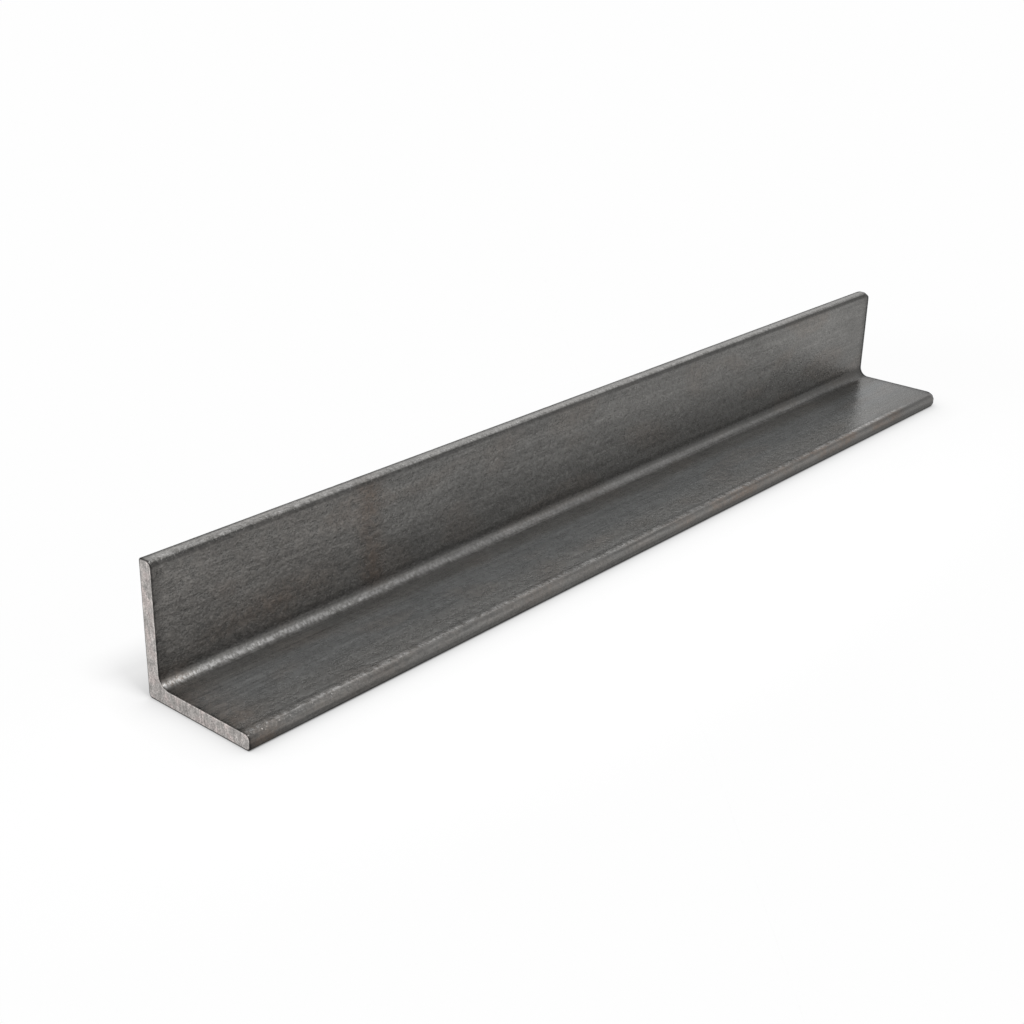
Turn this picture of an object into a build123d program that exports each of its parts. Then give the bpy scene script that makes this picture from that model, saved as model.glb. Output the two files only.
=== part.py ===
from build123d import *
import os

# Hot-rolled steel angle, equal legs, cut to a short length. It is one rolled piece.
#
# The bar runs along X. One leg, the foot, lies on Z = 0 with its toe at -Y. The other,
# the upright, stands on the +Y side. They meet at the heel, the outer corner at +Y, Z = 0.
# The inner side of a leg is its face, the outer side its back.
# The origin is the middle of the bar's footprint, on its underside.

# Driving dimensions, in millimetres
LEG = 50.0               # width of each leg, from the heel to the toe
THICKNESS = 6.0          # of both legs, which are parallel-sided
LENGTH = 450.0           # from one sawn end to the other
ROOT_RADIUS = 4.5        # inner corner, where the faces of the legs meet
TOE_FACE_RADIUS = ROOT_RADIUS / 2  # toe corner on the face, half the root radius
TOE_BACK_RADIUS = 1.2    # toe corner on the back
HEEL_RADIUS = 1.5        # outer corner, where the backs meet
SAWN_ARRIS = 0.3         # width of the broken edge round each sawn end

# Places in the cross-section, from the driving dimensions
UPRIGHT_BACK_Y = LEG / 2
UPRIGHT_FACE_Y = UPRIGHT_BACK_Y - THICKNESS
FOOT_TOE_Y = UPRIGHT_BACK_Y - LEG

# Each corner of the cross-section as (Y, Z), with the radius that the rolls leave on it
CORNER_RADII = {
    (UPRIGHT_BACK_Y, 0.0): HEEL_RADIUS,
    (UPRIGHT_FACE_Y, THICKNESS): ROOT_RADIUS,
    (FOOT_TOE_Y, 0.0): TOE_BACK_RADIUS,
    (FOOT_TOE_Y, THICKNESS): TOE_FACE_RADIUS,
    (UPRIGHT_BACK_Y, LEG): TOE_BACK_RADIUS,
    (UPRIGHT_FACE_Y, LEG): TOE_FACE_RADIUS,
}


def corner(section, place):
    """The vertex of the section that lies at a place, given as (Y, Z)."""
    return section.vertices().sort_by_distance((*place, 0.0))[0]


def rolled_section():
    """The L of the cross-section in the YZ plane, every corner rounded as rolled."""
    foot = Rectangle(LEG, THICKNESS, align=(Align.CENTER, Align.MIN))
    upright = Rectangle(THICKNESS, LEG, align=(Align.MAX, Align.MIN))
    section = foot + Pos(UPRIGHT_BACK_Y, 0) * upright
    for place, radius in CORNER_RADII.items():
        section = fillet(corner(section, place), radius)
    return Plane.YZ * section


def angle_bar():
    """The section drawn out to length, with the edges of both sawn ends broken."""
    bar = extrude(rolled_section(), LENGTH / 2, both=True)
    faces = bar.faces().sort_by(Axis.X)
    return chamfer(faces[0].edges() + faces[-1].edges(), SAWN_ARRIS)


os.makedirs("parts", exist_ok=True)
export_step(angle_bar(), "parts/angle_section.step")
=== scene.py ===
import math
from collections import namedtuple
from functools import partial

import bmesh
import bpy
from bpy.props import FloatProperty, FloatVectorProperty, PointerProperty
from mathutils import Matrix, Vector, noise


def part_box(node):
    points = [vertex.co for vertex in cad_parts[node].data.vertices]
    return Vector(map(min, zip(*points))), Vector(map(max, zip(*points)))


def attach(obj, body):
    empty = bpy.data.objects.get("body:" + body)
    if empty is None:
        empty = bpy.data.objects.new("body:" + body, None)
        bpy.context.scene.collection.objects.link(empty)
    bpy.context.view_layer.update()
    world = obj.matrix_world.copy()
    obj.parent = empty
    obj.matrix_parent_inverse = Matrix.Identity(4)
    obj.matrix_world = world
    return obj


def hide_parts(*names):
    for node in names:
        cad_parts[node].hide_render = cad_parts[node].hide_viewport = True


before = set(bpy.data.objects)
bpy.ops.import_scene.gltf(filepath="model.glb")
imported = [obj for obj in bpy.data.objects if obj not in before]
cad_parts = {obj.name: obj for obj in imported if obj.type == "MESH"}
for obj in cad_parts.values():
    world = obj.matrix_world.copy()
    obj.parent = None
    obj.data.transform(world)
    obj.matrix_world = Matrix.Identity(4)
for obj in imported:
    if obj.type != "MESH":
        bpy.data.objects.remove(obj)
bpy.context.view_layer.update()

# A cut length of hot-rolled steel angle, lying on its foot, in a plain white studio.
# The frame is the bar's own: X runs along it, Y from the foot's toe to the upright's back,
# Z up the upright. The near end is the one at -X. Lengths are in metres, and the places and
# sizes of marks and patterns are in millimetres.

bl_info = {
    "name": "Hot-rolled steel angle",
    "version": (1, 0, 0),
    "blender": (4, 5, 0),
    "location": "View3D > Sidebar > Steel angle",
    "description": "A cut length of equal-leg steel angle with mill scale, and a plain studio for it",
    "category": "Add Mesh",
}

BAR_NODE = "angle_section"
BAR_LOW, BAR_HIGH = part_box(BAR_NODE)
MM = 0.001

# The mesh's making
TOUCHING = 1e-6          # places closer than this are one place, in metres
FACING = 0.999           # a face looks along an axis where its normal reaches this far along it
CRISP = math.radians(30.0)  # an edge that turns more than this is shaded sharp
FEWEST_FACETS = 6        # across a long rounded corner
ARRIS_FACETS = 2         # across the near end's broken edge
DRESSED_FACETS = 4       # across the far end's
RIMS_SHARE = 0.4         # of the tightest corner's radius, for each rim, so that both fit inside it
THINNING = 0.7           # twice the share of its thickness that a leg loses at a dressed corner

# The studio
FLOOR_REACH = 8.0        # from the bar to the floor's edge, in metres
ROOM_LIGHT = 0.34        # how strongly the white room lights the bar, where 1 is as it looks

# The saw's marks, in millimetres
RIDGE_SPACING = 2.3
RIDGE_LEAN = 60.0        # the height in which a ridge moves over by one spacing
RIDGE_DRIFT = (7.0, 25.0)  # how far along Y and Z a ridge keeps its course


def linear(code):
    """The linear RGBA of an sRGB hex colour."""
    channels = [int(code[i:i + 2], 16) / 255 for i in (1, 3, 5)]
    return (*(c / 12.92 if c <= 0.04045 else ((c + 0.055) / 1.055) ** 2.4 for c in channels), 1.0)


def colour(name, description, code):
    """A colour that the user can change, with its default as an sRGB hex value."""
    return FloatVectorProperty(name=name, description=description, subtype="COLOR", size=4,
                               min=0.0, max=1.0, default=linear(code))


def length(name, description, default):
    """A length that the user can change, in metres."""
    return FloatProperty(name=name, description=description, unit="LENGTH", min=0.0,
                         precision=5, default=default)


class AngleBarSizes(bpy.types.PropertyGroup):
    """The sizes of the rolled section and of its surface relief."""

    thickness: length("Thickness", "Of both legs", 6.0 * MM)
    root_radius: length("Root radius", "Inner corner between the legs", 4.5 * MM)
    toe_face_radius: length("Toe radius, face", "Toe corners on the inner side", 2.25 * MM)
    toe_back_radius: length("Toe radius, back", "Upright's toe corner on the outer side", 1.2 * MM)
    toe_under_radius: length("Toe radius, underside", "Foot's toe corner on the outer side",
                             1.7 * MM)
    heel_radius: length("Heel radius", "Outer corner of the section", 1.5 * MM)
    arris: length("Sawn arris", "Broken edge round the near end", 0.3 * MM)
    dressed: length("Dressed arris", "Broken edge round the far end, which was dressed", 0.8 * MM)
    toe_corner: length("Dressed toe corner", "Radius of the foot's far corner, from above",
                       5.0 * MM)
    top_corner: length("Dressed top corner", "Radius of the upright's far corner, from the side",
                       2.5 * MM)
    burr: length("Burr", "Largest width of the dark line round each end, and of the bright one",
                 0.35 * MM)
    cell: length("Mesh cell", "Size of the mesh's faces, which carry the relief", 1.15 * MM)
    waviness: length("Waviness", "Height of the long waves that the rolls leave", 0.05 * MM)
    scale_pits: length("Scale pits", "Depth of the pits where scale was rolled in", 0.04 * MM)
    saw_marks: length("Saw marks", "Height of the ridges that the saw leaves", 0.03 * MM)


class SteelFinish(bpy.types.PropertyGroup):
    """The colours of the steel's surfaces."""

    scale_grey: colour("Mill scale", "Dark grey oxide skin of hot-rolled steel", "#6e6d6b")
    scale_blue: colour("Cool scale", "Where the skin is thin and cooled fast", "#6b6c6c")
    scale_brown: colour("Brown bloom", "Faint rust bloom on the skin", "#706760")
    glance: colour("Glancing shine", "Share of its shine that the skin keeps at a low angle",
                   "#bababa")
    # Mixed in along the rubbed lines, where it is partly rubbed scale and partly a painted highlight.
    burnished_and_highlight: colour("Burnished scale", "Scale rubbed bright in the root and on the toes",
                      "#9e9d9c")
    sawn: colour("Sawn steel", "Bare metal that the saw left", "#afaba8")
    sawn_tint: colour("Heat tint", "Straw to pinkish tint from the heat of the cut", "#ada5a2")


class StudioSettings(bpy.types.PropertyGroup):
    """The floor, the lamps and the camera."""

    floor: colour("Floor", "Plain pale paper under the bar", "#fcfcfc")
    white: colour("White", "What the eye and the metal see of the surroundings", "#fefefe")
    camera_place: FloatVectorProperty(
        name="Camera place", description="Where the camera stands", subtype="TRANSLATION",
        unit="LENGTH", default=(-0.48615, -0.35040, 0.25745))
    camera_heading: FloatProperty(
        name="Camera heading", description="Turn of the view from +X towards +Y",
        unit="ROTATION", default=math.radians(40.444))
    camera_tilt: FloatProperty(
        name="Camera tilt", description="Rise of the view above the horizon",
        unit="ROTATION", default=math.radians(-23.171))
    camera_roll: FloatProperty(
        name="Camera roll", description="Turn of the camera about its own axis",
        unit="ROTATION", default=math.radians(1.326))
    lens: FloatProperty(
        name="Lens", description="Focal length on a 36 mm wide sensor, in millimetres",
        subtype="DISTANCE_CAMERA", default=55.02)


# ---------------------------------------------------------------- the bar's mesh

def block(mesh, low, high):
    """Adds a plain block between two corners."""
    low, high = Vector(low), Vector(high)
    place = Matrix.Translation((low + high) / 2) @ Matrix.Diagonal((*(high - low), 1.0))
    bmesh.ops.create_cube(mesh, size=1.0, matrix=place)


def runs_along(edge):
    """Whether an edge runs along the bar."""
    first, second = edge.verts
    return abs(first.co.x - second.co.x) > TOUCHING


def corners(sizes):
    """Each corner of the section as its (Y, Z) and the radius that the rolls leave on it."""
    back, toe = BAR_HIGH.y, BAR_LOW.y
    under, top = BAR_LOW.z, BAR_HIGH.z
    face = back - sizes.thickness
    shelf = under + sizes.thickness
    return {
        "heel": ((back, under), sizes.heel_radius),
        "root": ((face, shelf), sizes.root_radius),
        "foot toe back": ((toe, under), sizes.toe_under_radius),
        "foot toe face": ((toe, shelf), sizes.toe_face_radius),
        "upright toe back": ((back, top), sizes.toe_back_radius),
        "upright toe face": ((face, top), sizes.toe_face_radius),
    }


def sharp_section(mesh, sizes):
    """The bar with square corners: the foot as a block, and the upright extruded from it."""
    face = BAR_HIGH.y - sizes.thickness
    shelf = BAR_LOW.z + sizes.thickness
    block(mesh, BAR_LOW, (BAR_HIGH.x, BAR_HIGH.y, shelf))
    slice_across(mesh, mesh.faces[:], 1, face)
    strip = [f for f in mesh.faces if f.normal.z > FACING and f.calc_center_median().y > face]
    rims = list(dict.fromkeys(e for f in strip for e in f.edges))
    raised = bmesh.ops.extrude_face_region(mesh, geom=strip + rims)["geom"]
    bmesh.ops.translate(mesh, verts=[v for v in raised if isinstance(v, bmesh.types.BMVert)],
                        vec=(0.0, 0.0, BAR_HIGH.z - shelf))
    bmesh.ops.dissolve_limit(mesh, angle_limit=math.radians(1.0), verts=mesh.verts[:],
                             edges=mesh.edges[:])


def slice_across(mesh, faces, axis, place):
    """Cuts the given faces where the axis reaches a place, and returns the pieces."""
    normal = Vector((0.0, 0.0, 0.0))
    normal[axis] = 1.0
    parts = dict.fromkeys(part for f in faces for part in (f, *f.edges, *f.verts))
    pieces = bmesh.ops.bisect_plane(mesh, geom=list(parts), dist=TOUCHING / 10,
                                    plane_co=normal * place, plane_no=normal)["geom"]
    return [piece for piece in pieces if isinstance(piece, bmesh.types.BMFace)]


def slice_evenly(mesh, faces, axis, cell):
    """Cuts the given faces into even strips across an axis, each about a cell wide."""
    reach = [v.co[axis] for f in faces for v in f.verts]
    low, high = min(reach), max(reach)
    strips = max(1, round((high - low) / cell))
    for i in range(1, strips):
        faces = slice_across(mesh, faces, axis, low + (high - low) * i / strips)
    return faces


def bevel(mesh, edges, width, segments):
    """Rounds edges, evenly on both sides."""
    bmesh.ops.bevel(mesh, geom=edges, offset=width, offset_type="OFFSET", segments=segments,
                    profile=0.5, affect="EDGES", material=-1, clamp_overlap=False)


def round_corners(mesh, sizes):
    """Rounds the long corners as the rolls leave them."""
    for (y, z), radius in corners(sizes).values():
        edges = [e for e in mesh.edges if runs_along(e)
                 and all(math.hypot(v.co.y - y, v.co.z - z) < TOUCHING for v in e.verts)]
        bevel(mesh, edges, radius, max(FEWEST_FACETS, round(radius * math.pi / sizes.cell)))


def sawn_ends(mesh):
    """The faces of the two sawn ends."""
    return [f for f in mesh.faces if abs(f.normal.x) > FACING]


def slice_sides(mesh, sizes):
    """Slices each flat side into strips that run along the bar."""
    for axis, out in ((1, 2), (2, 1)):
        for face in [f for f in mesh.faces if abs(f.normal[out]) > FACING]:
            slice_evenly(mesh, [face], axis, sizes.cell)


def break_sawn_edges(mesh, sizes):
    """Breaks the edge round each sawn end, more at the far one."""
    for end in sawn_ends(mesh):
        if end.normal.x > 0:
            bevel(mesh, end.edges[:], sizes.dressed, DRESSED_FACETS)
        else:
            bevel(mesh, end.edges[:], sizes.arris, ARRIS_FACETS)


def divide_ends(mesh, sizes):
    """Divides the sawn ends inside two narrow rims. "rim" is 1 on the outline, a half on the first
    rim's inner edge and 0 inside the second. The cells are narrow across the saw marks."""
    rim = mesh.verts.layers.float.new("rim")
    for end in sawn_ends(mesh):
        broken = sizes.dressed if end.normal.x > 0 else sizes.arris
        width = min(sizes.burr, RIMS_SHARE * (sizes.toe_back_radius - broken))
        for share in (1.0, 0.5):
            for vert in end.verts:
                vert[rim] = share
            bmesh.ops.inset_region(mesh, faces=[end], thickness=width, use_even_offset=True)
        for vert in end.verts:
            vert[rim] = 0.0
        slice_evenly(mesh, slice_evenly(mesh, [end], 1, sizes.cell / 2), 2, sizes.cell)


def divide_lengthwise(mesh, sizes):
    """Divides the strips into cells."""
    span = BAR_HIGH.x - BAR_LOW.x
    edges = [e for e in mesh.edges if runs_along(e) and e.calc_length() > span / 2]
    bmesh.ops.subdivide_edges(mesh, edges=edges, cuts=round(span / sizes.cell) - 1,
                              use_grid_fill=True)


def square_reach(out, radius, broken):
    """How far out a place is, counted in squares of which the one at the radius has its corner
    broken to a small round."""
    inner = radius - broken
    if min(out) * radius < max(out) * inner:
        return max(out)
    both = inner * sum(out)
    spare = both ** 2 - out.length_squared * (2 * inner ** 2 - broken ** 2)
    return radius * out.length_squared / (both + math.sqrt(max(0.0, spare)))


def dress_corner(mesh, axis, side, radius, broken, middle):
    """Rounds the far end's corner on one side of an axis: squares round the corner's centre become
    circles. The leg gets a little thinner there, towards the middle of its thickness."""
    edge = BAR_HIGH[axis] if side > 0 else BAR_LOW[axis]
    centre = Vector((BAR_HIGH.x - radius, edge - side * radius))
    through = 3 - axis  # the other one of Y (1) and Z (2), which runs through the leg
    for vert in mesh.verts:
        out = Vector((vert.co.x - centre.x, side * (vert.co[axis] - centre.y)))
        if min(out) > 0.0:
            out *= square_reach(out, radius, broken) / out.length
            vert.co.x = centre.x + out.x
            vert.co[axis] = centre.y + side * out.y
            thinner = THINNING * out.x * out.y / radius ** 2
            vert.co[through] += thinner * (middle - vert.co[through])


def fade(value, start, end):
    """0 at start and before it, 1 at end and past it, and smooth between them, either way."""
    t = min(1.0, max(0.0, (value - start) / (end - start)))
    return t * t * (3 - 2 * t)


def hump(value, middle, reach):
    """1 at a middle, and 0 past its reach on both sides."""
    return 1.0 - fade(abs(value - middle), 0.0, reach)


def wave(place, along, across, shift=(0.0, 0.0, 0.0)):
    """Smooth noise from -1 to 1, with waves of the given sizes in millimetres along and across.
    A shift, in metres, takes another part of the noise."""
    x, y, z = (place + Vector(shift)) / MM
    return noise.noise(Vector((x / along, y / across, z / across)))


def rolled_relief(place, sizes):
    """How far the rolled surface stands out at a place: long waves, small waves and pits."""
    long_wave = wave(place, 60.0, 22.0)
    small_wave = wave(place, 9.0, 6.0, (0.3, 0.1, 0.2))
    pit = fade(wave(place, 4.2, 3.0, (0.7, 0.5, 0.9)), 0.30, 0.62)
    return (sizes.waviness * 0.5 * (long_wave + 0.3 * small_wave - 1.3)
            - sizes.scale_pits * pit)


def sawn_relief(place, sizes):
    """How far a sawn end stands out: ridges that run up the end, unevenly spaced."""
    x, y, z = place.x / MM, place.y / MM, place.z / MM
    drift = 0.8 * noise.noise(Vector((y / RIDGE_DRIFT[0], z / RIDGE_DRIFT[1], x)))
    ridge = math.sin(2 * math.pi * (y / RIDGE_SPACING + z / RIDGE_LEAN + drift))
    return sizes.saw_marks * 0.5 * (ridge - 1.0)


def roughen(mesh, sizes):
    """Moves the sides by their relief along their normals, and the ends, with the outermost part
    of the broken edge round them, along the bar."""
    mesh.normal_update()
    sides_end = BAR_HIGH.x - 1.1 * sizes.arris
    moves = {}
    for vert in mesh.verts:
        move = vert.normal * rolled_relief(vert.co, sizes)
        if abs(vert.co.x) > sides_end:
            move = Vector((math.copysign(sawn_relief(vert.co, sizes), -vert.co.x), 0.0, 0.0))
        moves[vert] = move
    for vert, move in moves.items():
        vert.co += move


Reaches = namedtuple("Reaches", "near toe under far back top")


def from_sides(place):
    """How far a place is from each side of the bar's box, in millimetres: from the near end, the
    foot's toe, the underside, the far end, the upright's back and the top."""
    return Reaches(*(place - BAR_LOW) / MM, *(BAR_HIGH - place) / MM)


def from_corner(place, corner):
    """How far a place is from a corner, and how far round it the place lies, from the side that
    runs down or towards -Y (-1) to the one that runs up or towards +Y (1), both in its radii."""
    (y, z), radius = corner
    across, up = (place.y - y) / radius, (place.z - z) / radius
    return math.hypot(across, up), across + up


def root_line_and_shading(place, corner):
    """The inner corner's rubbed line, with a painted highlight on it that is brightest at the near
    end, and painted shade above it.
    """
    at = from_sides(place)
    reach, turn = from_corner(place, corner)
    turn += 0.25 * fade(at.near, 175.0, 425.0)
    line = (1.0 - fade(reach, 0.45, 1.1)) * (1.0 - fade(turn, -0.20, 0.35))
    # Painted shade in the corner above the line, and a painted highlight on the line that is
    # brightest at the near end.
    root_cove_shade = (1.0 - fade(reach, 0.7, 1.6)) * fade(turn, -0.15, 0.70)
    rubbed_highlight = 1.22 * (max(at.near, 10.0) / 25.0) ** -0.33
    shine = line * (1.0 - fade(-turn, 0.35, 0.70))
    return line, (1.0 + (rubbed_highlight - 1.0) * shine) * (1.0 - 0.55 * root_cove_shade)


def upright_crest_and_shading(place, corner):
    """The upright's toe, with a painted shade line under a rubbed line that also carries a painted
    highlight, a painted sheen on the top and, at the top's back edge, a painted light band beside a
    painted shade line; and the upright's face, with painted shade low down and near the top, and
    painted light high up along the far half and towards the far end."""
    at = from_sides(place)
    reach, turn = from_corner(place, corner)
    rounded = 1.0 - fade(reach, 0.7, 1.15)
    # Painted shade and light on the toe: a dark line on the face side, a darker band on the arc, a
    # sheen on the top, and a light band and dark line at the top's back edge.
    lip = rounded * fade(turn, 0.45, 0.10) * (1.0 + 0.25 * fade(at.near, 205.0, 285.0))
    dark = rounded * hump(turn, -0.15, 0.45)
    crest = rounded * fade(turn, 0.10, 0.45)
    cap = fade(turn, -0.10, 0.40)
    on_top = fade(at.top, 1.2, 0.6)
    crown = on_top * (0.17 * hump(at.back, 2.7, 1.8) - 0.50 * fade(at.back, 2.1, 1.0))
    # Painted shade low down and near the top of the face, and painted light high up along the far
    # half and towards the far end.
    face = fade(at.under, 7.0, 12.0) * (1.0 - cap)
    low = 0.07 + 0.09 * hump(at.under, 16.5, 11.0) + 0.12 * hump(at.top, 4.5, 3.0)
    high = fade(at.near, 165.0, 265.0) * fade(at.far, 10.0, 40.0) * fade(at.under, 22.0, 40.0)
    lift = 0.16 * fade(at.near, 285.0, 425.0) + 0.15 * high
    return crest, ((1.0 - 0.45 * lip) * (1.0 - 0.32 * dark) * (1.0 + 0.20 * cap) * (1.0 + crown)
                   * (1.0 + (lift - low) * face))


def foot_line_and_shading(place, corner):
    """The foot's middle, paler by painted light, its far end, darker by painted shade, and its toe: a
    rubbed line that also carries a painted highlight, between two painted shade lines, which come
    lower near the near end, and a flat darkened by painted shade."""
    at = from_sides(place)
    reach, turn = from_corner(place, corner)
    start = fade(at.near, 135.0, 35.0)
    end = fade(at.far, 50.0, 20.0)
    on_face = fade(at.under, 4.0, 5.5) * fade(at.under, 9.0, 6.3)
    # Painted light on the foot's middle and its root side, and painted shade on its far end.
    middle = on_face * fade(at.back, 15.0, 21.0) * (0.25 + 0.75 * fade(at.toe, 10.0, 21.0))
    pale = 0.14 * fade(at.back, 9.0, 17.0) + 0.08 * hump(at.toe, 12.5, 5.0)
    far = on_face * fade(at.far, 75.0, 35.0)
    # The toe: the rubbed line carries a painted highlight, with painted shade lines beside it on the
    # face and on the arc, and painted shade on the toe's flat.
    rounded = 1.0 - fade(reach, 1.0, 1.3)
    above = fade(turn, 0.2, 0.9 - 0.2 * start)
    line = hump(reach, 1.40 - 0.25 * start, 0.62) * above * (1.0 - 0.2 * start) * (1.0 - 0.8 * end)
    toe_line_shade = hump(reach, 2.10, 0.50) * above * (1.0 - end)
    arc = rounded * hump(turn, 0.30 - 0.25 * start, 0.95 + 0.20 * start) * (1.0 - 0.4 * end)
    flat = fade(at.toe, 1.5, 0.5) * fade(at.under, 4.2, 2.4)
    skin = ((1.0 + on_face * pale + 0.38 * middle) * (1.0 - 0.30 * far) * (1.0 - 0.32 * toe_line_shade)
            * (1.0 - (0.40 - 0.04 * start) * arc) * (1.0 - (0.42 + 0.08 * start) * flat))
    return line, middle, skin


def brown_bloom(place, toe):
    """How strong the brown bloom is: on the upright near the near end, in one smudge, low down and
    in patches, on the foot in patches and at the near end, and as rust and a spot on its toe. The
    second value is the smudge alone."""
    at = from_sides(place)
    reach, _ = from_corner(place, toe)
    on_upright = fade(at.under, 6.0, 12.0) * (0.3 + 0.7 * fade(at.top, 0.5, 2.0))
    on_foot = fade(at.under, 12.0, 6.0)
    near = fade(at.near, 115.0, 60.0)
    smudge = hump(at.near + 3.0 * wave(place, 20.0, 9.0), 95.0, 9.0)
    low = hump(at.under, 20.0, 9.0) * hump(at.near, 55.0, 35.0)
    patch = fade(wave(place, 26.0, 11.0, (0.4, 0.8, 0.6)), 0.05, 0.45)
    upright = on_upright * (0.01 + 0.13 * near + 0.42 * smudge + 0.30 * low + 0.20 * patch)
    foot = on_foot * (0.16 * patch + 0.30 * fade(at.near, 20.0, 3.0))
    spread = 0.4 + 1.2 * fade(wave(place, 15.0, 6.0, (0.2, 0.6, 0.3)), -0.35, 0.35)
    rust = 0.12 + 0.38 * fade(at.near, 185.0, 285.0) * fade(at.far, 25.0, 45.0)
    spot = 0.7 * hump(at.near, 6.0, 10.0) * fade(at.toe, 3.0, 0.0) * hump(at.under, 2.5, 3.5)
    return upright + foot + spread * rust * hump(reach, 0.8, 1.4) + spot, on_upright * smudge


def mark_skin_and_shading(mesh, sizes):
    """Stores how the skin differs from place to place: its brightness, which is painted light and
    shade apart from a brown smudge, where the rolls rubbed it bright, partly with a painted
    highlight, the root's line, the rough back corners, darkened by painted shade, its cooler and
    browner parts, and where its grain is deep."""
    skin, rubbed, root, rough_shaded_corner, cool, bloom, grained = (
        mesh.verts.layers.float.new(name)
        for name in ("skin", "rubbed", "root", "rough_shaded_corner", "cool", "bloom", "grained"))
    section = corners(sizes)
    backs = [section[name][0] for name in ("heel", "foot toe back", "upright toe back")]
    for vert in mesh.verts:
        place = vert.co
        at = from_sides(place)
        vert[root], root_light_and_shade = root_line_and_shading(place, section["root"])
        crest, on_upright = upright_crest_and_shading(place, section["upright toe face"])
        bead, vert[cool], on_foot = foot_line_and_shading(place, section["foot toe face"])
        vert[bloom], smudge = brown_bloom(place, section["foot toe face"])
        outside = min(math.dist(place.yz, corner) for corner in backs)
        # The back corners: painted shade, and the material also makes them rough.
        vert[rough_shaded_corner] = fade(outside / MM, 1.6, 0.75)
        vert[grained] = max(fade(at.under, 6.0, 12.0), 0.4 * fade(at.toe, 3.5, 1.5))
        # The rubbed lines: partly rubbed scale, partly a painted highlight.
        vert[rubbed] = max(vert[root], 0.45 * crest, bead)
        # The skin attribute: painted light and shade from the root, the upright and the foot, painted
        # shade on the back corners, and the brown smudge's stain.
        back_corner_shade_and_smudge = (1.0 - 0.75 * vert[rough_shaded_corner]) * (1.0 - 0.10 * smudge)
        vert[skin] = root_light_and_shade * on_upright * on_foot * back_corner_shade_and_smudge


def finish_faces(mesh):
    """Smooth shading with crisp arrises, and the sawn ends in the second material."""
    for face in mesh.faces:
        face.smooth = True
    for face in sawn_ends(mesh):
        face.material_index = 1
    for edge in mesh.edges:
        if edge.calc_face_angle() > CRISP:
            edge.smooth = False


# ---------------------------------------------------------------- materials

def add(tree, kind, inputs=None, **settings):
    """Adds a node with its settings. Each input is given by name, as a value, a socket, or a node,
    which stands for its first output in use."""
    made = tree.nodes.new(kind)
    for name, value in settings.items():
        setattr(made, name, value)
    for name, value in (inputs or {}).items():
        socket = next(s for s in made.inputs if s.enabled and name in (s.identifier, s.name))
        if isinstance(value, bpy.types.Node):
            value = next(s for s in value.outputs if s.enabled)
        if isinstance(value, bpy.types.NodeSocket):
            tree.links.new(value, socket)
        else:
            socket.default_value = value
    return made


def per(size):
    """A pattern's scale, from the size of its features in millimetres."""
    return 1.0 / (size * MM)


def new_material(name):
    """An empty node material."""
    material = bpy.data.materials.new(name)
    material.use_nodes = True
    material.node_tree.nodes.clear()
    return material, material.node_tree


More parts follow.
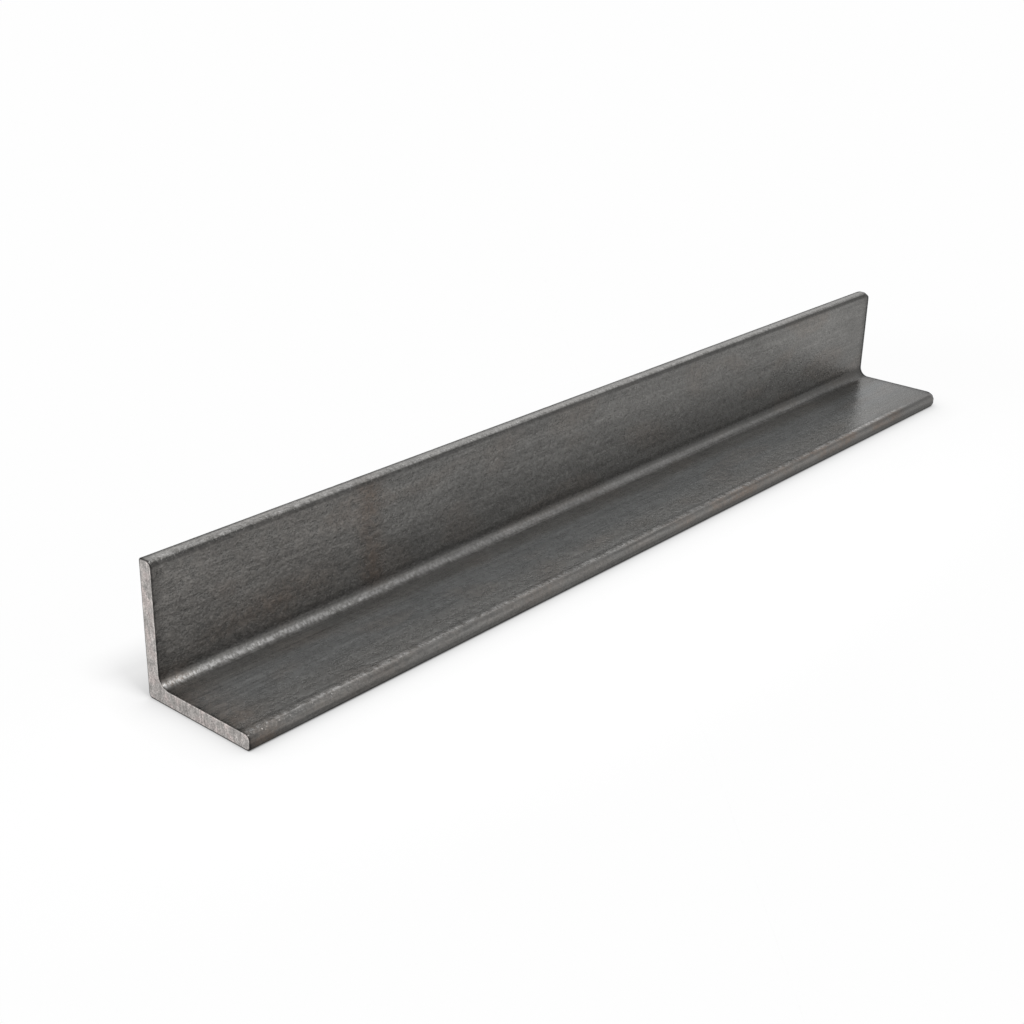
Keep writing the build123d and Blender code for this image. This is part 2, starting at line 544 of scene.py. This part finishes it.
def mill_scale(colours):
    """Hot-rolled mild steel under its mill scale: a thin dark oxide skin that formed as the bar
    cooled. To the eye it is a dull dark grey between metal and stone, pocked by the rolls with a
    fine worm-like grain, faintly cloudy, drawn in streaks along the bar, and rubbed bright in the
    root and on the toes, where a painted highlight is added too. The oxide is only part metal, so
    some of its grey is matt."""
    material, tree = new_material("mill_scale_steel")
    node = partial(add, tree)
    place = node("ShaderNodeTexCoord").outputs["Object"]
    rolled = node("ShaderNodeMapping", {"Vector": place, "Scale": (0.7, 1.0, 1.0)})
    drawn = node("ShaderNodeMapping", {"Vector": place, "Scale": (0.02, 1.0, 1.0),
                                       "Rotation": (0.0, 0.0, math.radians(0.7))})
    smeared = node("ShaderNodeMapping", {"Vector": place, "Scale": (0.3, 1.0, 1.0)})
    rippled = node("ShaderNodeMapping", {"Vector": place, "Scale": (1.0, 0.45, 0.45)})
    skin, rubbed, root, rough_shaded_corner, cool, bloom, grained = (
        node("ShaderNodeAttribute", attribute_name=name).outputs["Fac"]
        for name in ("skin", "rubbed", "root", "rough_shaded_corner", "cool", "bloom", "grained"))
    axes = node("ShaderNodeSeparateXYZ", {"Vector": place}).outputs

    # Each pattern's W takes its own slice of the noise. The grain's true size is about half a
    # millimetre. It is drawn a little coarser, so that it shows.
    mottle = node("ShaderNodeTexNoise", {"Vector": place, "W": 0.8, "Scale": per(2.2),
                                         "Detail": 4.0, "Roughness": 0.6}, noise_dimensions="4D")
    grain = node("ShaderNodeTexNoise", {"Vector": rolled, "W": 0.6, "Scale": per(0.62),
                                        "Detail": 1.5, "Roughness": 0.6, "Distortion": 0.6},
                 noise_dimensions="4D")
    streak = node("ShaderNodeTexNoise", {"Vector": drawn, "W": 0.2, "Scale": per(0.6),
                                         "Detail": 4.0, "Roughness": 0.6}, noise_dimensions="4D")
    cloud = node("ShaderNodeTexNoise", {"Vector": smeared, "W": 0.9, "Scale": per(5.0),
                                        "Detail": 3.0, "Roughness": 0.6}, noise_dimensions="4D")
    relief = node("ShaderNodeMath", {"Value": grain, "Value_001": 0.6, "Value_002": mottle},
                  operation="MULTIPLY_ADD")

    # Light and dark. The upright's grain and the toe's are deeper, the foot is smoother and more
    # streaked, and all of it is calmer towards the far end.
    # It starts from the skin attribute, which carries the painted light and shade of the root, the
    # upright, the foot and the back corners.
    shade = skin
    calmer = node("ShaderNodeMapRange", {"Value": axes["X"], "From Min": BAR_LOW.x,
                                         "From Max": BAR_HIGH.x, "To Min": 1.08, "To Max": 0.64})
    for pattern, smooth, deep in ((grain, 0.14, 0.34), (mottle, 0.07, 0.14),
                                  (streak, 0.24, 0.22), (cloud, 0.10, 0.13)):
        depth = node("ShaderNodeMapRange", {"Value": grained, "To Min": smooth, "To Max": deep})
        depth = node("ShaderNodeMath", {"Value": depth, "Value_001": calmer}, operation="MULTIPLY")
        swing = node("ShaderNodeMapRange", {"Value": pattern, "From Min": 0.3, "From Max": 0.7,
                                            "To Min": -1.0})
        factor = node("ShaderNodeMath", {"Value": swing, "Value_001": depth, "Value_002": 1.0},
                      operation="MULTIPLY_ADD")
        shade = node("ShaderNodeMath", {"Value": shade, "Value_001": factor}, operation="MULTIPLY")

    # A dark ragged line and a band of darker skin run beside each end, both measured from the
    # bar's middle. They are wider at the far end, where they go over the dressed edge.
    along = node("ShaderNodeMath", {"Value": axes["X"], "Value_001": 0.8 * MM}, operation="ADD")
    along = node("ShaderNodeMath", {"Value": along}, operation="ABSOLUTE")
    ragged = node("ShaderNodeMath", {"Value": mottle, "Value_001": -1.6 * MM, "Value_002": along},
                  operation="MULTIPLY_ADD")
    for start, end, kept in ((2.6, 1.4, 0.25), (6.6, 1.5, 0.70)):
        factor = node("ShaderNodeMapRange", {"Value": ragged, "From Min": BAR_HIGH.x - start * MM,
                                             "From Max": BAR_HIGH.x - end * MM, "To Min": 1.0,
                                             "To Max": kept}, interpolation_type="SMOOTHSTEP")
        shade = node("ShaderNodeMath", {"Value": shade, "Value_001": factor}, operation="MULTIPLY")

    # Cool grey on the foot, and a brown bloom that the mottle breaks up.
    flecks = node("ShaderNodeMapRange", {"Value": mottle, "From Min": 0.35, "From Max": 0.60,
                                         "To Min": 0.5, "To Max": 1.5})
    bloom = node("ShaderNodeMath", {"Value": bloom, "Value_001": flecks}, operation="MULTIPLY",
                 use_clamp=True)
    tone = node("ShaderNodeMix", {"Factor_Float": cool, "A_Color": tuple(colours.scale_grey),
                                  "B_Color": tuple(colours.scale_blue)}, data_type="RGBA")
    tone = node("ShaderNodeMix", {"Factor_Float": bloom, "A_Color": tone,
                                  "B_Color": tuple(colours.scale_brown)}, data_type="RGBA")

    # The rolls slide most in the root and on the toes, and rub the skin bright in cross-wise
    # ripples, which are coarser on the toes. That brightening is partly rubbed scale and partly a
    # painted highlight. In the root the ripples get fainter up to the bar's middle.
    ripple = node("ShaderNodeTexNoise", {"Vector": rippled, "W": 0.1, "Scale": per(0.65),
                                         "Detail": 2.0, "Roughness": 0.6}, noise_dimensions="4D")
    beads = node("ShaderNodeTexNoise", {"Vector": rippled, "W": 0.7, "Scale": per(1.2),
                                        "Detail": 1.0, "Roughness": 0.6}, noise_dimensions="4D")
    ripple = node("ShaderNodeMix", {"Factor_Float": root, "A_Float": beads, "B_Float": ripple})
    calm = node("ShaderNodeMapRange", {"Value": axes["X"], "From Min": BAR_LOW.x + 25.0 * MM,
                                       "From Max": 0.0, "To Max": 0.30})
    calm = node("ShaderNodeMath", {"Value": calm, "Value_001": root}, operation="MULTIPLY")
    bright = node("ShaderNodeMath", {"Value": 1.0, "Value_001": calm}, operation="SUBTRACT")
    ripple = node("ShaderNodeMapRange", {"Value": ripple, "From Min": 0.44, "From Max": 0.58,
                                         "To Min": calm, "To Max": bright})
    rubbed_highlight = node("ShaderNodeMath", {"Value": rubbed, "Value_001": ripple}, operation="MULTIPLY")
    tone = node("ShaderNodeMix", {"Factor_Float": rubbed_highlight, "A_Color": tone,
                                  "B_Color": tuple(colours.burnished_and_highlight)}, data_type="RGBA")
    tone = node("ShaderNodeMix", {"Factor_Float": 1.0, "A_Color": tone, "B_Color": shade},
                data_type="RGBA", blend_type="MULTIPLY")

    # The rubbed lines are smoother than the rest, in gloss and in relief, and the back corners
    # are rough.
    rough = node("ShaderNodeMapRange", {"Value": mottle, "From Min": 0.3, "From Max": 0.7,
                                        "To Min": 0.23, "To Max": 0.33})
    for mark, change in ((rubbed_highlight, -0.04), (rough_shaded_corner, 0.50)):
        rough = node("ShaderNodeMath", {"Value": mark, "Value_001": change, "Value_002": rough},
                     operation="MULTIPLY_ADD")
    depth = node("ShaderNodeMapRange", {"Value": grained, "To Min": 0.6, "To Max": 1.0})
    depth = node("ShaderNodeMath", {"Value": rubbed, "Value_001": -0.55, "Value_002": depth},
                 operation="MULTIPLY_ADD")
    depth = node("ShaderNodeMath", {"Value": depth, "Value_001": calmer}, operation="MULTIPLY")
    bump = node("ShaderNodeBump", {"Height": relief, "Strength": depth, "Distance": 0.36 * MM})
    shader = node("ShaderNodeBsdfPrincipled",
                  {"Base Color": tone, "Roughness": rough, "Metallic": 0.67,
                   "Specular Tint": tuple(colours.glance), "Normal": bump})
    node("ShaderNodeOutputMaterial", {"Surface": shader})
    return material


def sawn_steel(colours):
    """Mild steel as the saw left it: bare pale metal with ridges from the teeth, torn specks and a
    faint tint from the heat of the cut. To the eye it is light, dull and warm beside the scale.
    A bright burr, partly a painted highlight, runs round it, with painted shade outside on all but
    the inner side."""
    material, tree = new_material("bandsawn_steel")
    node = partial(add, tree)
    place = node("ShaderNodeTexCoord").outputs["Object"]
    sawn = node("ShaderNodeMapping", {"Vector": place, "Scale": (1.0, 1.0, 0.2),
                                      "Rotation": (math.radians(6.0), 0.0, 0.0)})
    rim = node("ShaderNodeAttribute", attribute_name="rim").outputs["Fac"]
    axes = node("ShaderNodeSeparateXYZ", {"Vector": place}).outputs
    ridge = node("ShaderNodeTexNoise", {"Vector": sawn, "W": 0.0, "Scale": per(1.0), "Detail": 2.5,
                                        "Roughness": 0.6}, noise_dimensions="4D")
    torn = node("ShaderNodeTexNoise", {"Vector": place, "W": 0.5, "Scale": per(0.42), "Detail": 2.0,
                                       "Roughness": 0.7}, noise_dimensions="4D")
    tint = node("ShaderNodeTexNoise", {"Vector": place, "W": 0.3, "Scale": per(4.0), "Detail": 2.0},
                noise_dimensions="4D")
    blotch = node("ShaderNodeMapRange", {"Value": tint, "From Min": 0.35, "From Max": 0.65,
                                         "To Min": 0.82, "To Max": 1.18})
    tint = node("ShaderNodeMapRange", {"Value": tint, "From Min": 0.45, "From Max": 0.65},
                interpolation_type="SMOOTHSTEP")
    tone = node("ShaderNodeMix", {"Factor_Float": tint, "A_Color": tuple(colours.sawn),
                                  "B_Color": tuple(colours.sawn_tint)}, data_type="RGBA")
    shade = node("ShaderNodeMapRange", {"Value": ridge, "From Min": 0.3, "From Max": 0.7,
                                        "To Min": 0.62, "To Max": 1.38})
    pocked = node("ShaderNodeMapRange", {"Value": torn, "From Min": 0.3, "From Max": 0.7,
                                         "To Min": 0.46, "To Max": 1.54})

    # The dark line is painted shade, darkest on the underside, and lighter on the top and the back.
    # The inner side hardly has one, so the burr reaches the edge there.
    inner = 1.0
    for axis, side, start, end, before, after in (("Z", BAR_LOW.z, 2.0, 4.0, 0.25, 0.95),
                                                  ("Z", BAR_HIGH.z, -3.0, -1.0, 1.0, 0.60),
                                                  ("Y", BAR_HIGH.y, -4.0, -1.0, 1.0, 0.50)):
        kept = node("ShaderNodeMapRange", {"Value": axes[axis], "From Min": side + start * MM,
                                           "From Max": side + end * MM, "To Min": before,
                                           "To Max": after})
        inner = node("ShaderNodeMath", {"Value": kept, "Value_001": inner}, operation="MULTIPLY")
    ragged = node("ShaderNodeMath", {"Value": torn, "Value_001": 0.8, "Value_002": rim},
                  operation="MULTIPLY_ADD")
    outline = node("ShaderNodeMapRange", {"Value": ragged, "From Min": 0.85, "From Max": 1.15,
                                          "To Min": 1.0, "To Max": 0.0})
    outline = node("ShaderNodeMix", {"Factor_Float": outline, "A_Float": inner, "B_Float": 1.0})
    # The burr's brightening is partly bright metal and partly a painted highlight.
    burr = node("ShaderNodeMapRange", {"Value": rim, "From Max": 0.5, "To Min": 1.0,
                                       "To Max": 1.32})
    for factor in (pocked, blotch, outline, burr):
        shade = node("ShaderNodeMath", {"Value": shade, "Value_001": factor}, operation="MULTIPLY")
    tone = node("ShaderNodeMix", {"Factor_Float": 1.0, "A_Color": tone, "B_Color": shade},
                data_type="RGBA", blend_type="MULTIPLY")
    rough = node("ShaderNodeMapRange", {"Value": ridge, "From Min": 0.3, "From Max": 0.7,
                                        "To Min": 0.40, "To Max": 0.55})
    relief = node("ShaderNodeMath", {"Value": ridge, "Value_001": torn}, operation="ADD")
    bump = node("ShaderNodeBump", {"Height": relief, "Strength": 1.0, "Distance": 0.10 * MM})
    shader = node("ShaderNodeBsdfPrincipled",
                  {"Base Color": tone, "Roughness": rough, "Metallic": 1.0, "Normal": bump})
    node("ShaderNodeOutputMaterial", {"Surface": shader})
    return material


def seen_directly(tree):
    """1 where the eye, or a reflection, meets the surroundings, and 0 where they light the bar."""
    rays = add(tree, "ShaderNodeLightPath").outputs
    seen = rays["Is Camera Ray"]
    for other in ("Is Glossy Ray", "Is Transmission Ray"):
        seen = add(tree, "ShaderNodeMath", {"Value": seen, "Value_001": rays[other]},
                   operation="MAXIMUM").outputs["Value"]
    return seen


def studio_floor(settings):
    """Matt white paper, which lies white to the eye away from the bar and keeps its shadow. Part
    of its white glows the same in any light, and dims only close to the bar, where ambient
    occlusion paints a contact shadow into the glow. That part grows to the whole outside an oval
    round the bar."""
    material, tree = new_material("matt_white_paper")
    node = partial(add, tree)
    contact = node("ShaderNodeAmbientOcclusion", {"Distance": 17.0 * MM}, samples=16).outputs["AO"]
    glow_with_painted_shadow = node("ShaderNodeMath", {"Value": contact, "Value_001": 0.64}, operation="POWER")
    paper = node("ShaderNodeBsdfDiffuse", {"Color": tuple(settings.floor)})
    white = node("ShaderNodeEmission", {"Color": tuple(settings.white), "Strength": glow_with_painted_shadow})
    place = node("ShaderNodeTexCoord").outputs["Object"]
    place = node("ShaderNodeMapping", {"Vector": place, "Scale": (0.35, 1.0, 1.0)})
    away = node("ShaderNodeVectorMath", {"Vector": place}, operation="LENGTH").outputs["Value"]
    share = node("ShaderNodeMapRange", {"Value": away, "From Min": 70.0 * MM,
                                        "From Max": 140.0 * MM, "To Min": 0.68},
                 interpolation_type="SMOOTHSTEP")
    share = node("ShaderNodeMath", {"Value": share, "Value_001": seen_directly(tree)},
                 operation="MULTIPLY")
    surface = node("ShaderNodeMixShader", {"Fac": share, "Shader": paper, "Shader_001": white})
    node("ShaderNodeOutputMaterial", {"Surface": surface})
    material.cycles.emission_sampling = "NONE"
    return material


# ---------------------------------------------------------------- operators

def link(name, data):
    """Puts an object at the origin of the scene."""
    made = bpy.data.objects.new(name, data)
    bpy.context.scene.collection.objects.link(made)
    return made


class MESH_OT_rolled_angle(bpy.types.Operator):
    """Makes the rolled steel angle: one bar with rounded root, toes and heel, and sawn ends"""

    bl_idname = "mesh.rolled_angle"
    bl_label = "Rolled steel angle"

    def execute(self, context):
        sizes, colours = context.scene.angle_bar, context.scene.steel_finish
        mesh = bmesh.new()
        sharp_section(mesh, sizes)
        round_corners(mesh, sizes)
        slice_sides(mesh, sizes)
        break_sawn_edges(mesh, sizes)
        divide_ends(mesh, sizes)
        divide_lengthwise(mesh, sizes)
        mark_skin_and_shading(mesh, sizes)
        finish_faces(mesh)
        half = sizes.thickness / 2
        dress_corner(mesh, 1, -1, sizes.toe_corner, sizes.dressed, BAR_LOW.z + half)
        dress_corner(mesh, 2, 1, sizes.top_corner, sizes.dressed, BAR_HIGH.y - half)
        roughen(mesh, sizes)
        data = bpy.data.meshes.new("rolled_angle_bar")
        mesh.to_mesh(data)
        mesh.free()
        data.materials.append(mill_scale(colours))
        data.materials.append(sawn_steel(colours))
        bar = link("rolled_angle_bar", data)
        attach(bar, "root")
        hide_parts(BAR_NODE)
        return {"FINISHED"}


class SCENE_OT_plain_studio(bpy.types.Operator):
    """Makes the plain studio: the floor, the soft lamps, the white surroundings and the camera"""

    bl_idname = "scene.plain_studio"
    bl_label = "Plain studio"

    def execute(self, context):
        settings = context.scene.studio
        self.lay_floor(settings)
        self.light(context, settings)
        self.set_camera(context, settings)
        context.scene.view_settings.view_transform = "Standard"
        return {"FINISHED"}

    def lay_floor(self, settings):
        mesh = bmesh.new()
        bmesh.ops.create_grid(mesh, x_segments=1, y_segments=1, size=FLOOR_REACH)
        bmesh.ops.translate(mesh, verts=mesh.verts[:], vec=(0.0, 0.0, BAR_LOW.z))
        data = bpy.data.meshes.new("floor")
        mesh.to_mesh(data)
        mesh.free()
        data.materials.append(studio_floor(settings))
        link("floor", data)

    def light(self, context, settings):
        world = bpy.data.worlds.new("white_room")
        world.use_nodes = True
        tree = world.node_tree
        tree.nodes.clear()
        strength = add(tree, "ShaderNodeMapRange", {"Value": seen_directly(tree),
                                                    "To Min": ROOM_LIGHT})
        surroundings = add(tree, "ShaderNodeBackground", {"Color": tuple(settings.white),
                                                          "Strength": strength})
        add(tree, "ShaderNodeOutputWorld", {"Surface": surroundings})
        world.cycles.sampling_method = "NONE"
        context.scene.world = world
        self.hang_softbox("overhead_softbox", heading=-110.0, rise=61.0, distance=1.2, size=0.32,
                          energy=11.5)
        self.hang_softbox("back_softbox", heading=46.0, rise=25.0, distance=1.6, size=1.4,
                          energy=4.0)

    def hang_softbox(self, name, heading, rise, distance, size, energy):
        """Hangs a square lamp that faces the bar, at a heading from +X and a rise in degrees, and
        a distance in metres."""
        lamp = bpy.data.lights.new(name, "AREA")
        lamp.size = size
        lamp.energy = energy
        softbox = link(name, lamp)
        turn = (Matrix.Rotation(math.radians(heading), 4, "Z")
                @ Matrix.Rotation(math.radians(-rise), 4, "Y"))
        softbox.location = turn @ Vector((distance, 0.0, 0.0))
        softbox.rotation_euler = (-softbox.location).to_track_quat("-Z", "Y").to_euler()
        softbox.visible_camera = False

    def set_camera(self, context, settings):
        data = bpy.data.cameras.new("camera")
        data.sensor_width = 36.0
        data.lens = settings.lens
        data.clip_start = 0.01
        camera = link("camera", data)
        turn = (Matrix.Rotation(settings.camera_heading - math.pi / 2, 4, "Z")
                @ Matrix.Rotation(math.pi / 2 + settings.camera_tilt, 4, "X")
                @ Matrix.Rotation(settings.camera_roll, 4, "Z"))
        camera.matrix_world = Matrix.Translation(settings.camera_place) @ turn
        context.scene.camera = camera


class VIEW3D_PT_steel_angle(bpy.types.Panel):
    """Sizes, colours and buttons for the steel angle"""

    bl_label = "Steel angle"
    bl_space_type = "VIEW_3D"
    bl_region_type = "UI"
    bl_category = "Steel angle"

    def draw(self, context):
        for owner, operator in ((context.scene.angle_bar, "mesh.rolled_angle"),
                                (context.scene.steel_finish, None),
                                (context.scene.studio, "scene.plain_studio")):
            box = self.layout.box()
            for name in owner.__annotations__:
                box.prop(owner, name)
            if operator:
                box.operator(operator)


CLASSES = (AngleBarSizes, SteelFinish, StudioSettings, MESH_OT_rolled_angle,
           SCENE_OT_plain_studio, VIEW3D_PT_steel_angle)


def register():
    for one in CLASSES:
        bpy.utils.register_class(one)
    bpy.types.Scene.angle_bar = PointerProperty(type=AngleBarSizes)
    bpy.types.Scene.steel_finish = PointerProperty(type=SteelFinish)
    bpy.types.Scene.studio = PointerProperty(type=StudioSettings)


def unregister():
    del bpy.types.Scene.studio
    del bpy.types.Scene.steel_finish
    del bpy.types.Scene.angle_bar
    for one in reversed(CLASSES):
        bpy.utils.unregister_class(one)


def main():
    register()
    bpy.ops.mesh.rolled_angle()
    bpy.ops.scene.plain_studio()


if __name__ == "__main__":
    main()
